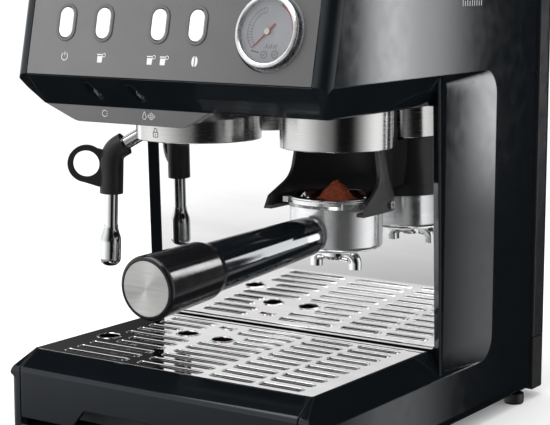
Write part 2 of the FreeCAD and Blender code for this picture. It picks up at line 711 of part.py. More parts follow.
def wand_grip():
    """Rubber sleeve over the bend with a finger ring."""
    upper = toward(WAND_BEND, BALL, 13.0)
    lower = toward(WAND_BEND, WAND_END, 35.5)
    sleeve = bar([upper, WAND_BEND, lower], 14.0, GRIP_R)
    half = RING_THICK / 2.0
    web = along_y([(-1.0, RING_R - 0.3), (14.0, 11.5), (14.0, -20.5), (-5.0, 1.0 - RING_R)],
                  -half, half)
    ring = rod(Vec(0, -half, 0), Vec(0, 1, 0), RING_R, RING_THICK)
    hole = rod(Vec(0, -10, 0), Vec(0, 1, 0), RING_HOLE_R, 20.0)
    loop = union([web, ring]).cut(hole)
    loop.Placement = FreeCAD.Placement(RING_CENTRE, FreeCAD.Rotation(Vec(0, 0, 1), RING_TURN))
    bore = bar([toward(WAND_BEND, BALL, 20.0), WAND_BEND, toward(WAND_BEND, WAND_END, 50.0)],
               14.0, TUBE_R + 0.02)
    return union([sleeve, loop]).cut(bore)


def wand_tip():
    """Bulb nozzle that the tube flares into."""
    axis = (WAND_END - WAND_BEND).normalize()
    bore = TUBE_R + 0.02
    tip = spin([(0, -10.5), (8.8, -10.5, 6.5), (8.8, 13.0, 16.0), (6.1, 21.0, 16.0), (6.1, 24.0),
                (bore, 24.0), (bore, 0.0), (0, 0.0)])
    tip.Placement = FreeCAD.Placement(WAND_END, FreeCAD.Rotation(Vec(0, 0, -1), axis))
    return tip


# ---- grinding side -------------------------------------------------------------------------
def grinder_collar():
    return spin([(GRIND_COLLAR_R - COLLAR_WALL, COLLAR_BOTTOM + 0.5, 0.4),
                 (GRIND_COLLAR_R, COLLAR_BOTTOM + 0.5, 0.8), (GRIND_COLLAR_R, HEAD_BOTTOM - 0.1),
                 (GRIND_COLLAR_R - COLLAR_WALL, HEAD_BOTTOM - 0.1)], GRIND_X, WORK_Y)


CRADLE_WALL = 2.6
CRADLE_STEPS = ((190.8, 44.2), (200.0, 44.2), (213.0, 40.5), (240.0, 36.0))  # z, half-width
CRADLE_FRONT_Y = -98.0


def hood_solid(shrink, stretch):
    """Solid U in plan, round at the back, through the cradle's steps."""
    wires = []
    for index, (z, half) in enumerate(CRADLE_STEPS):
        half = half - shrink
        if index == 0:
            z = z - stretch
        left = Vec(GRIND_X - half, WORK_Y, z)
        right = Vec(GRIND_X + half, WORK_Y, z)
        back = Vec(GRIND_X, WORK_Y + half, z)
        front_left = Vec(GRIND_X - half, CRADLE_FRONT_Y - stretch, z)
        front_right = Vec(GRIND_X + half, CRADLE_FRONT_Y - stretch, z)
        edges = [Part.LineSegment(front_left, left).toShape(),
                 Part.Arc(left, back, right).toShape(),
                 Part.LineSegment(right, front_right).toShape(),
                 Part.LineSegment(front_right, front_left).toShape()]
        wires.append(Part.Wire(edges))
    return Part.makeLoft(wires, True, True)


def cradle_screws():
    places = []
    for side in (-1, 1):
        places.append((Vec(GRIND_X + side * 44.2, -49.0, 196.0), Vec(-side, 0, 0), 2.0))
    return places


def portafilter_cradle():
    """Fork under the grinder: hood behind the basket, arms that hold its ears."""
    outer = hood_solid(0.0, 0.0)
    inner = hood_solid(CRADLE_WALL, 2.0)
    pillar = along_z([(GRIND_X - 17.0, -34.0), (GRIND_X + 17.0, -34.0),
                      (GRIND_X + 17.0, COLUMN_Y), (GRIND_X - 17.0, COLUMN_Y)], 201.0, COLLAR_BOTTOM)
    hood = less(union([outer, pillar]), [inner])
    sweep = along_x([(-140.0, 260.0), (-56.0, 260.0), (-57.5, 213.0, 16.0),
                     (-82.0, 200.0, 5.0), (-88.0, 190.0), (-88.0, 180.0), (-140.0, 180.0)],
                    0.0, 160.0)
    hood = hood.cut(sweep)
    disc = spin([(14.0, 238.0), (40.6, 238.0), (40.6, 266.2), (37.0, 266.2), (37.0, 241.0),
                 (14.0, 241.0)], GRIND_X, WORK_Y)
    ledges = []
    for side in (-1, 1):
        near = GRIND_X + side * 37.4
        far = GRIND_X + side * 42.5
        ledges.append(box(min(near, far), max(near, far), -87.0, -58.0, 190.8, 193.6))
    back_lip = box(GRIND_X - 17.0, GRIND_X + 17.0, -7.0, COLUMN_Y, 201.0, 266.2)
    whole = union([hood, disc, back_lip] + ledges).cut(behind_splash())
    return less(whole, [screw_hole(*place) for place in cradle_screws()])


def housing_screws():
    screws = [screw(*place) for place in base_screws()]
    screws += [screw(*place) for place in cradle_screws()]
    return screws


MOTOR_R = 26.0
CHAMBER_R = 34.0
EXIT_Z = 312.0


def grinder_gearmotor():
    can = spin([(0, 176.0), (MOTOR_R - 3, 176.0), (MOTOR_R, 180.0), (MOTOR_R, 246.0),
                (24.0, 248.0), (24.0, 290.0), (12.0, 290.0), (12.0, 299.0), (4.05, 299.0),
                (4.05, 280.0), (0, 280.0)], BURR_X, BURR_Y)
    return can


def burr_chamber():
    wall = spin([(4.6, 299.2), (CHAMBER_R, 299.2), (CHAMBER_R, 344.0), (27.2, 344.0),
                 (27.2, 304.0), (4.6, 304.0)], BURR_X, BURR_Y)
    exit_port = rod(Vec(GRIND_X + 1.0, BURR_Y - 40.0, EXIT_Z), Vec(0, 1, 0), 7.0, 25.0)
    return wall.cut(exit_port)


def lower_burr():
    """Driven cone with its shaft."""
    cone = spin([(0, 281.0), (4.0, 281.0), (4.0, 306.5), (22.5, 306.5), (22.5, 310.0),
                 (8.0, 340.0), (0, 340.0)], BURR_X, BURR_Y)
    grooves = []
    for index in range(12):
        groove = box(10.0, 26.0, -1.2, 1.2, 306.0, 340.0)
        groove = groove.cut(spin([(0, 300.0), (21.3, 300.0), (21.3, 309.0), (6.5, 341.0),
                                  (0, 341.0)]))
        groove.rotate(Vec(0, 0, 0), Vec(0, 0, 1), 30.0 * index)
        groove.translate(Vec(BURR_X, BURR_Y, 0))
        grooves.append(groove)
    return less(cone, grooves)


def upper_burr():
    ring = spin([(24.4, 314.0), (26.4, 314.0), (26.4, 345.9), (14.0, 345.9), (14.0, 340.0)],
                BURR_X, BURR_Y)
    return ring


def grind_adjuster():
    """Knurled ring that turns the upper burr; its edge shows through the right wall."""
    flange = spin([(21.6, 346.0), (50.0, 346.0), (50.0, ADJUSTER_Z), (ADJUSTER_R, ADJUSTER_Z),
                   (ADJUSTER_R, ADJUSTER_Z + ADJUSTER_HEIGHT), (47.0, ADJUSTER_Z + ADJUSTER_HEIGHT),
                   (47.0, 349.0), (21.6, 349.0)])
    notches = []
    for index in range(48):
        angle = 2 * math.pi * index / 48
        notches.append(post(ADJUSTER_R * math.cos(angle), ADJUSTER_R * math.sin(angle), 1.4,
                            ADJUSTER_Z - 1.0, ADJUSTER_Z + ADJUSTER_HEIGHT + 1.0))
    ring = less(flange, notches)
    ring.translate(Vec(BURR_X, BURR_Y, 0))
    return ring


def grinder_chute():
    route = [Vec(GRIND_X + 1.0, BURR_Y - CHAMBER_R - 3.6, EXIT_Z), Vec(GRIND_X, WORK_Y, 288.0),
             Vec(GRIND_X, WORK_Y, 243.5)]
    return tube(route, 16.0, 8.8, 7.2)


def bean_hopper():
    return spin([(21.0, 350.5), (21.0, 360.0), (44.0, 376.4), (HOPPER_R, 377.4),
                 (HOPPER_R, HOPPER_TOP), (HOPPER_R - 2.5, HOPPER_TOP), (HOPPER_R - 2.5, 383.0),
                 (45.0, 380.0), (18.5, 361.2), (18.5, 350.5)], BURR_X, BURR_Y)


def hopper_lid():
    return spin([(0, HOPPER_TOP + 0.3), (HOPPER_R - 5.0, HOPPER_TOP + 0.3),
                 (HOPPER_R - 5.0, HOPPER_TOP - 3.0), (HOPPER_R - 2.8, HOPPER_TOP - 3.0),
                 (HOPPER_R - 2.8, HOPPER_TOP + 0.3), (HOPPER_R + 1.0, HOPPER_TOP + 0.3),
                 (HOPPER_R + 1.0, HOPPER_TOP + 4.0, 2.0), (HOPPER_R - 10.0, LID_TOP), (24.0, LID_TOP),
                 (20.0, HOPPER_TOP + 3.0), (0, HOPPER_TOP + 3.0)], BURR_X, BURR_Y)


# ---- water tank ------------------------------------------------------------------------------
TANK_WALL = 2.4
TANK_FRONT = BODY_BACK_Y + 0.6
LID_HINGE_Y = REAR_Y - 2.6
LID_HINGE_Z = 373.8


def water_tank():
    wide = HALF_WIDTH - 0.2
    inside = wide - TANK_WALL
    shell = along_z([(-wide, TANK_FRONT, 1.0), (wide, TANK_FRONT, 1.0),
                     (wide, REAR_Y, 14.0), (-wide, REAR_Y, 14.0)], SEAM_Z + 0.8, BODY_TOP)
    cavity = along_z([(-inside, TANK_FRONT + TANK_WALL, 1.0), (inside, TANK_FRONT + TANK_WALL, 1.0),
                      (inside, REAR_Y - TANK_WALL, 11.6), (-inside, REAR_Y - TANK_WALL, 11.6)],
                     SEAM_Z + 4.0, BODY_TOP - 8.0)
    mouth = box(-120.0, 120.0, TANK_FRONT + TANK_WALL, REAR_Y - 5.0, BODY_TOP - 9.0, BODY_TOP)
    seat = box(-127.8, 127.8, TANK_FRONT - 1.0, REAR_Y + 1.0, BODY_TOP - 4.7, BODY_TOP + 1.0)
    hole = post(TANK_PORT[0], TANK_PORT[1], 8.0, SEAM_Z, SEAM_Z + 5.0)
    return less(shell, [cavity, mouth, seat, hole])


def tank_lid():
    """Flap with a round back edge centred on its hinge line."""
    radius = BODY_TOP - LID_HINGE_Z
    top_front = Vec(-127.4, TANK_FRONT + 0.2, BODY_TOP)
    low_front = Vec(-127.4, TANK_FRONT + 0.2, LID_HINGE_Z - radius)
    top_back = Vec(-127.4, LID_HINGE_Y, BODY_TOP)
    low_back = Vec(-127.4, LID_HINGE_Y, LID_HINGE_Z - radius)
    rear = Vec(-127.4, LID_HINGE_Y + radius, LID_HINGE_Z)
    wire = Part.Wire([Part.LineSegment(low_front, top_front).toShape(),
                      Part.LineSegment(top_front, top_back).toShape(),
                      Part.Arc(top_back, rear, low_back).toShape(),
                      Part.LineSegment(low_back, low_front).toShape()])
    flap = Part.Face(wire).extrude(Vec(254.8, 0, 0))
    finger = along_z(rect(-22.0, 22.0, TANK_FRONT - 4.0, TANK_FRONT + 7.0, 4.0),
                     BODY_TOP - 1.8, BODY_TOP + 1.0)
    return flap.cut(finger)


def tank_valve():
    return spin([(0, 48.0), (5.0, 48.0), (7.9, 51.0), (7.9, SEAM_Z + 4.0), (11.0, SEAM_Z + 4.0),
                 (11.0, SEAM_Z + 6.0), (6.0, SEAM_Z + 9.0), (0, SEAM_Z + 9.0)], *TANK_PORT)


# ---- drip tray ---------------------------------------------------------------------------------
TUB_HALF = 128.4
TUB_WALL = 2.4
TUB_BOTTOM = 22.0
TUB_TOP = 72.6
TUB_FRONT = -158.0
TUB_BACK = 3.0
SHEET = 1.2
SLOT_WIDTH = 4.8
ROW_PITCH = 15.0
FIRST_ROW = -151.0
ROWS = 10
FINGER_HOLES = ((-109.0, -97.0), (-60.5, -55.0), (-24.5, -57.0))
FINGER_R = 8.6
FLOAT_XY = (-45.0, -22.0)
FLOAT_SIZE = (12.0, 4.6)


def slot_spans(row):
    """Start and end x of the slots in one row of the grate."""
    spans = [(34.5, 70.5), (78.0, 113.5)]
    left = (-106.0, -46.5)
    middle = (-33.5, 24.0)
    if row in (3, 4):
        left = (-91.0, -46.5)
    if row in (6, 7):
        left = (-106.0, -75.0)
        middle = (-10.0, 24.0)
    if row in (8, 9):
        left = (-106.0, -62.0)
        middle = (-27.0, 24.0)
    return [left, middle] + spans


def drip_tray_tub():
    shell = along_z(rect(-TUB_HALF, TUB_HALF, TUB_FRONT, TUB_BACK, 6.0), TUB_BOTTOM, TUB_TOP)
    inside = along_z(rect(-TUB_HALF + TUB_WALL, TUB_HALF - TUB_WALL, TUB_FRONT + TUB_WALL,
                          TUB_BACK - TUB_WALL, 4.0), TUB_BOTTOM + TUB_WALL, TUB_TOP + 1)
    x, y = FLOAT_XY
    guide = post(x, y, 9.5, TUB_BOTTOM + TUB_WALL - 0.5, 46.0)
    guide = guide.cut(post(x, y, 7.6, TUB_BOTTOM + TUB_WALL, 50.0))
    return union([shell.cut(inside), guide])


def drip_tray_front():
    """Gloss fascia with the bevel up to the grate and a finger notch below."""
    edge = SIDE_INNER - 1.2
    fascia = along_x([(FRONT_Y, FASCIA_BOTTOM), (FRONT_Y, BEVEL_Z, 5.0), (BEVEL_Y - 0.6, TRAY_TOP - 0.3),
                      (BEVEL_Y - 0.6, TRAY_TOP - 4.0), (FRONT_Y + 3.2, BEVEL_Z - 2.0, 3.0),
                      (FRONT_Y + 3.2, FASCIA_BOTTOM)], -edge, edge)
    notch = along_y([(-79.0, FASCIA_BOTTOM - 2), (-65.0, 38.0, 5.0), (65.0, 38.0, 5.0),
                     (79.0, FASCIA_BOTTOM - 2)], FRONT_Y - 2, FRONT_Y + 6)
    ribs = [box(x - 2.0, x + 2.0, FRONT_Y + 2.5, TUB_FRONT - 0.1, 44.0, 60.0)
            for x in (-100.0, -40.0, 40.0, 100.0)]
    return union([fascia.cut(notch)] + ribs)


def drip_grate():
    top = along_z(rect(-129.3, 129.3, BEVEL_Y, TUB_BACK + 0.8, 2.0), TRAY_TOP - SHEET, TRAY_TOP)
    half = TUB_HALF - TUB_WALL - 0.6
    skirt = along_z(rect(-half, half, TUB_FRONT + TUB_WALL + 0.6, TUB_BACK - TUB_WALL - 0.6, 3.4),
                    66.0, TRAY_TOP - 0.5)
    bore = along_z(rect(-half + SHEET, half - SHEET, TUB_FRONT + TUB_WALL + 0.6 + SHEET,
                        TUB_BACK - TUB_WALL - 0.6 - SHEET, 2.2), 65.0, TRAY_TOP - SHEET)
    tools = []
    for row in range(ROWS):
        y = FIRST_ROW + row * ROW_PITCH
        for x0, x1 in slot_spans(row):
            tools.append(along_z(rect(x0, x1, y - SLOT_WIDTH / 2, y + SLOT_WIDTH / 2,
                                      SLOT_WIDTH * 0.49), 70.0, 80.0))
    for x, y in FINGER_HOLES:
        tools.append(post(x, y, FINGER_R, 70.0, 80.0))
    x, y = FLOAT_XY
    tools.append(box(x - FLOAT_SIZE[0] / 2 - 0.6, x + FLOAT_SIZE[0] / 2 + 0.6,
                     y - FLOAT_SIZE[1] / 2 - 0.6, y + FLOAT_SIZE[1] / 2 + 0.6, 70.0, 80.0))
    return less(union([top, skirt.cut(bore)]), [Part.makeCompound(tools)])


def full_tray_float():
    """Red flag on a float that lifts through its window when the tray is full."""
    x, y = FLOAT_XY
    flag = box(x - FLOAT_SIZE[0] / 2, x + FLOAT_SIZE[0] / 2, y - FLOAT_SIZE[1] / 2,
               y + FLOAT_SIZE[1] / 2, 54.0, TRAY_TOP - 0.6)
    stem = post(x, y, 3.0, 42.0, 56.0)
    puck = post(x, y, 7.2, TUB_BOTTOM + TUB_WALL + 0.3, 43.0)
    return union([flag, stem, puck])


# ---- portafilter ---------------------------------------------------------------------------------
def along_handle(shape):
    """Turn a shape made along +z into the drooping handle axis."""
    axis = Vec(0, -math.cos(math.radians(HANDLE_DROOP)), -math.sin(math.radians(HANDLE_DROOP)))
    shape.Placement = FreeCAD.Placement(Vec(GRIND_X, HANDLE_START_Y, HANDLE_Z),
                                        FreeCAD.Rotation(Vec(0, 0, 1), axis))
    return shape


def portafilter_body():
    floor = CUP_BOTTOM + 6.0
    cup = spin([(8.0, CUP_BOTTOM), (BASKET_R, CUP_BOTTOM, 5.0), (BASKET_R, 194.0), (RIM_R, 196.5),
                (RIM_R, RIM_Z, 0.8), (CUP_BORE_R, RIM_Z), (CUP_BORE_R, floor), (8.0, floor - 1.5)],
               GRIND_X, WORK_Y)
    neck = along_handle(spin([(0, -13.0), (13.5, -13.0), (10.8, -7.0), (12.2, -0.1), (0, -0.1)]))
    lugs = []
    for angle in LUG_ANGLES:
        lug = box(32.0, LUG_R, -6.0, 6.0, 194.6, 198.8)
        lug = lug.common(post(0, 0, LUG_R, 190.0, 200.0))
        lug.rotate(Vec(0, 0, 0), Vec(0, 0, 1), angle)
        lug.translate(Vec(GRIND_X, WORK_Y, 0))
        lugs.append(lug)
    whole = union([cup, neck] + lugs)
    return whole.cut(post(GRIND_X, WORK_Y, CUP_BORE_R, floor, 210.0))


def filter_basket():
    wall = CUP_BORE_R - 0.8
    return spin([(0, 175.0), (wall - 4.4, 175.0, 3.0), (wall, 190.0), (wall, RIM_Z + 0.01),
                 (RIM_R - 0.2, RIM_Z + 0.01), (RIM_R - 0.2, RIM_Z + 1.2, 0.5),
                 (wall - 0.8, RIM_Z + 1.2), (wall - 0.8, 190.0), (wall - 5.0, 176.0), (0, 176.0)],
                GRIND_X, WORK_Y)


SPOUT_X = 17.3              # each outlet from the middle


def portafilter_spout():
    top = CUP_BOTTOM - 0.1
    hub = spin([(0, top - 9.0), (8.0, top - 9.0), (11.0, top - 6.0), (11.0, top), (0, top)],
               GRIND_X, WORK_Y)
    arms = []
    for side in (-1, 1):
        x = GRIND_X + side * SPOUT_X
        line = [Vec(GRIND_X, WORK_Y, top - 5.0), Vec(x, WORK_Y, top - 6.4),
                Vec(x, WORK_Y, top - 15.8)]
        arms.append(bar(line, 5.2, 4.9))
    solid = union([hub] + arms)
    for side in (-1, 1):
        solid = solid.cut(post(GRIND_X + side * SPOUT_X, WORK_Y, 3.2, 130.0, top - 9.5))
    return solid


def handle_grip():
    """Tapered grip, widest where it meets the sleeve."""
    return along_handle(spin([(0, 0), (14.4, 0, 1.0), (15.2, 22.0), (16.6, 80.0),
                              (17.6, GRIP_LENGTH), (0, GRIP_LENGTH)]))


def handle_sleeve():
    """Wide end of the handle, with a recess for its cap."""
    end = GRIP_LENGTH + SLEEVE_LENGTH
    floor = end - CAP_THICK
    return along_handle(spin([(0, GRIP_LENGTH + 0.05), (18.8, GRIP_LENGTH + 0.05, 0.8),
                              (20.2, GRIP_LENGTH + 6.0), (21.7, end, 3.0), (CAP_R + 0.1, end),
                              (CAP_R + 0.1, floor), (0, floor)]))


def handle_end_cap():
    end = GRIP_LENGTH + SLEEVE_LENGTH
    return along_handle(spin([(0, end - CAP_THICK), (CAP_R, end - CAP_THICK),
                              (CAP_R, end - 0.3, 0.5), (0, end - 0.3)]))


# ---- write every node ------------------------------------------------------------------------------
SINGLE_NODES = (
    base_pan, rubber_feet, rear_cover, column_frame, splash_back, head_shell,
    group_visor, indicator_lenses, control_panel, button_bezels, control_board, gauge_housing,
    gauge_bezel, gauge_lens, gauge_needle, top_cover, cup_tray, group_collar, group_head,
    group_gasket, shower_screen, thermoblock, steam_valve, steam_dial, vibration_pump,
    water_hoses, wand_cup, wand_tube, wand_grip, wand_tip, grinder_collar,
    portafilter_cradle, housing_screws, grinder_gearmotor, burr_chamber, lower_burr, upper_burr,
    grind_adjuster, grinder_chute, bean_hopper, hopper_lid, water_tank, tank_lid, tank_valve,
    drip_tray_tub, drip_tray_front, drip_grate, full_tray_float, portafilter_body,
    filter_basket, portafilter_spout, handle_grip, handle_sleeve, handle_end_cap,
)

os.makedirs("parts", exist_ok=True)
side_panels()
for make in SINGLE_NODES:
    save(make.__name__, make())
for name, x in BUTTON_XS.items():
    save(name, push_button(x))
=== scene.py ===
"""An espresso machine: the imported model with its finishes, printed marks, pressed rims and coffee."""

import json
import math
import random

import bmesh
import bpy
from mathutils import Matrix, Vector, noise


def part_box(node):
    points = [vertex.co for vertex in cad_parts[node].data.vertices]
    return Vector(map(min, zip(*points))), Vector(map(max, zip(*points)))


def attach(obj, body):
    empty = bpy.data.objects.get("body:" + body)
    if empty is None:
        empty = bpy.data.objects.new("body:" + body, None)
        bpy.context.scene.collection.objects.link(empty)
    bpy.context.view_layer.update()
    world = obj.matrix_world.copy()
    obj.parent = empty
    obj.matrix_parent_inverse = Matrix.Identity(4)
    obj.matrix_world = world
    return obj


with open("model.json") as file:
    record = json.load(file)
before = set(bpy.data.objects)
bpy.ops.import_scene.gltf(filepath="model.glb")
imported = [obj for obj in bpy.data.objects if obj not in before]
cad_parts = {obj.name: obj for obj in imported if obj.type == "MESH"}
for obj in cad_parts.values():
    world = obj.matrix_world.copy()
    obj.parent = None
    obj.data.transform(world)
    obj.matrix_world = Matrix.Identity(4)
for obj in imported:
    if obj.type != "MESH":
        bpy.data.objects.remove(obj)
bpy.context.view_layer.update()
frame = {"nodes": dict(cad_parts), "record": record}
MM = 0.001


# ---- places read from the frame ---------------------------------------------------------
def middle(node):
    """Centre of a CAD node's box."""
    low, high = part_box(node)
    return (low + high) / 2


LEFT_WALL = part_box("side_panel_left")[0]
RIGHT_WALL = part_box("side_panel_right")[1]
FASCIA_REACH = 180.4 * MM       # the fascia stands this far in front of the machine's own axes
AXES = Vector(((LEFT_WALL.x + RIGHT_WALL.x) / 2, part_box("drip_tray_front")[0].y + FASCIA_REACH, 0))


def at(x, y, z):
    """A point given in millimetres from the machine's mid-plane, its own y zero and the floor."""
    return AXES + Vector((x, y, z)) * MM


# the control panel leans back; x runs across it, s up it and n out of it
PANEL_LEAN = math.radians(12.1)
PANEL_FOOT = (-165.0, 290.3)    # y and z of its lower edge
GAUGE_AT = (90.0, 37.0)         # x and s of the gauge's middle


def on_panel(x, s, n):
    """A point on the control panel, in millimetres."""
    y = PANEL_FOOT[0] + s * math.sin(PANEL_LEAN) - n * math.cos(PANEL_LEAN)
    z = PANEL_FOOT[1] + s * math.cos(PANEL_LEAN) + n * math.sin(PANEL_LEAN)
    return at(x, y, z)


# ---- camera, surroundings and lights -----------------------------------------------------
CAMERA_PLACE = at(723.62, -1080.28, 372.7)
CAMERA_TURN = math.radians(34.27)
CAMERA_DIP = math.radians(8.73)
CAMERA_LENS = 105.83


def make_camera():
    """A long lens at the front right, a little above the tray."""
    data = bpy.data.cameras.new("camera")
    data.lens = CAMERA_LENS
    data.sensor_width = 36.0
    data.clip_start = 0.05
    camera = bpy.data.objects.new("camera", data)
    bpy.context.scene.collection.objects.link(camera)
    back = Vector((math.sin(CAMERA_TURN) * math.cos(CAMERA_DIP),
                   -math.cos(CAMERA_TURN) * math.cos(CAMERA_DIP), math.sin(CAMERA_DIP)))
    camera.location = CAMERA_PLACE
    camera.rotation_euler = (-back).to_track_quat("-Z", "Y").to_euler()
    bpy.context.scene.camera = camera


def add_node(tree, kind, **settings):
    """A new node with its plain settings."""
    made = tree.nodes.new(kind)
    for name, value in settings.items():
        setattr(made, name, value)
    return made


def calculate(tree, operation, *values):
    """A Math node; each value is a number or another node's output."""
    made = add_node(tree, "ShaderNodeMath", operation=operation)
    for index, value in enumerate(values):
        if isinstance(value, (int, float)):
            made.inputs[index].default_value = value
        else:
            tree.links.new(value, made.inputs[index])
    return made.outputs[0]


def fade(tree, value, start, end):
    """1 where value is below start, 0 where it is past end, smooth between."""
    made = add_node(tree, "ShaderNodeMapRange", interpolation_type="SMOOTHSTEP")
    for index, number in enumerate((start, end, 1.0, 0.0)):
        made.inputs[index + 1].default_value = number
    tree.links.new(value, made.inputs[0])
    return made.outputs[0]


# Each softbox: azimuth of its middle (0 is behind the machine, 90 its right), half width, softness
# of its lower and higher azimuth edge, elevation of its middle, half height, softness, brightness.
SOFTBOXES = (
    (-125, 4, 80, 90, 14, 24, 7, 1.22),
    (-138, 60, 20, 20, -22, 8, 16, 0.42),
    (52, 8, 6, 60, 12, 36, 12, 1.25),
    (30.4, 0.3, 0.9, 0.8, 1, 6, 4, 4.8),
    (29.4, 0.3, 2.2, 1.5, 1, 6, 4, 4.0),
    (30.0, 0.3, 2.2, 2.2, -15, 6.5, 3, 1.2),
    (-75, 6, 5, 5, 8, 22, 12, 0.9),
    (0, 180, 1, 1, 90, 22, 16, 0.9),
    (-10, 25, 30, 30, 50, 10, 10, 0.35),
)
SURROUNDINGS = 0.008


def make_surroundings():
    """A white studio: the camera sees it plain white, gloss sees dark walls with large softboxes."""
    world = bpy.data.worlds.new("studio")
    bpy.context.scene.world = world
    world.use_nodes = True
    tree = world.node_tree
    tree.nodes.clear()
    direction = add_node(tree, "ShaderNodeSeparateXYZ")
    tree.links.new(add_node(tree, "ShaderNodeTexCoord").outputs["Generated"], direction.inputs[0])
    x, y, z = direction.outputs
    azimuth = calculate(tree, "DEGREES", calculate(tree, "ARCTAN2", x, y))
    elevation = calculate(tree, "DEGREES", calculate(tree, "ARCSINE", z))
    glow = calculate(tree, "ADD", SURROUNDINGS, 0.0)
    for turn, half_width, soft_low, soft_high, rise, half_height, rise_soft, strength in SOFTBOXES:
        up = calculate(tree, "ABSOLUTE", calculate(tree, "SUBTRACT", elevation, rise))
        aside = calculate(tree, "WRAP", calculate(tree, "SUBTRACT", azimuth, turn), 180.0, -180.0)
        high_side = fade(tree, aside, half_width, half_width + soft_high)
        low_side = fade(tree, calculate(tree, "MULTIPLY", aside, -1.0), half_width, half_width + soft_low)
        upright = fade(tree, up, half_height, half_height + rise_soft)
        box = calculate(tree, "MULTIPLY", calculate(tree, "MULTIPLY", high_side, low_side), upright)
        glow = calculate(tree, "MULTIPLY_ADD", box, strength, glow)
    gloss = add_node(tree, "ShaderNodeBackground")
    tree.links.new(glow, gloss.inputs["Strength"])
    white = add_node(tree, "ShaderNodeBackground")
    white.inputs["Strength"].default_value = 1.0
    white.inputs["Color"].default_value = (1.0, 1.0, 1.0, 1.0)
    ray = add_node(tree, "ShaderNodeLightPath")
    plain = calculate(tree, "MAXIMUM", ray.outputs["Is Camera Ray"], ray.outputs["Is Diffuse Ray"])
    blend = add_node(tree, "ShaderNodeMixShader")
    tree.links.new(plain, blend.inputs[0])
    tree.links.new(gloss.outputs[0], blend.inputs[1])
    tree.links.new(white.outputs[0], blend.inputs[2])
    tree.links.new(blend.outputs[0], add_node(tree, "ShaderNodeOutputWorld").inputs["Surface"])


def make_floor():
    """A plain pale floor that fades into the white surroundings."""
    mesh = bpy.data.meshes.new("floor")
    reach = 12.0
    corners = [(-reach, -reach, 0), (reach, -reach, 0), (reach, reach, 0), (-reach, reach, 0)]
    mesh.from_pydata(corners, [], [(0, 1, 2, 3)])
    floor = bpy.data.objects.new("floor", mesh)
    bpy.context.scene.collection.objects.link(floor)
    material = bpy.data.materials.new("floor")
    material.use_nodes = True
    shader = material.node_tree.nodes["Principled BSDF"]
    shader.inputs["Base Color"].default_value = (0.97, 0.97, 0.97, 1)
    shader.inputs["Emission Color"].default_value = (1.0, 1.0, 1.0, 1)
    shader.inputs["Emission Strength"].default_value = 0.14
    shader.inputs["Roughness"].default_value = 0.9
    mesh.materials.append(material)
    floor.visible_glossy = False


def area_light(name, place, target, width, height, watts, only=()):
    """A rectangular lamp aimed at target; where only names nodes, it lights no others."""
    data = bpy.data.lights.new(name, "AREA")
    data.shape = "RECTANGLE"
    data.size = width
    data.size_y = height
    data.energy = watts
    lamp = bpy.data.objects.new(name, data)
    lamp.location = place
    lamp.rotation_euler = (Vector(target) - Vector(place)).to_track_quat("-Z", "Y").to_euler()
    lamp.visible_camera = False
    bpy.context.scene.collection.objects.link(lamp)
    if only:
        lit = bpy.data.collections.new(name + "_lit")
        for node in only:
            lit.objects.link(frame["nodes"][node])
        lamp.light_linking.receiver_collection = lit


def make_lights():
    """A large soft lamp from above, one beside the panel, and two for the stripe on the handle."""
    area_light("top_light", at(-150, -500, 1300), at(0, 0, 150), 1.2, 1.2, 14)
    area_light("panel_light", at(-380, -470, 400), at(-60, -150, 320), 0.3, 0.4, 1.3,
               only=("control_panel", "group_visor"))
    area_light("handle_light", at(840, 1070, 350), at(0, -200, 165), 0.2, 0.62, 3.6,
               only=("handle_grip",))
    area_light("sleeve_light", at(880, 1070, 760), at(100, -250, 175), 0.2, 0.5, 3.6,
               only=("handle_sleeve",))


# ---- finishes ----------------------------------------------------------------------------
MOULDED_EDGE = 0.0006           # radius that the light sees on moulded and on metal corners
METAL_EDGE = 0.0004


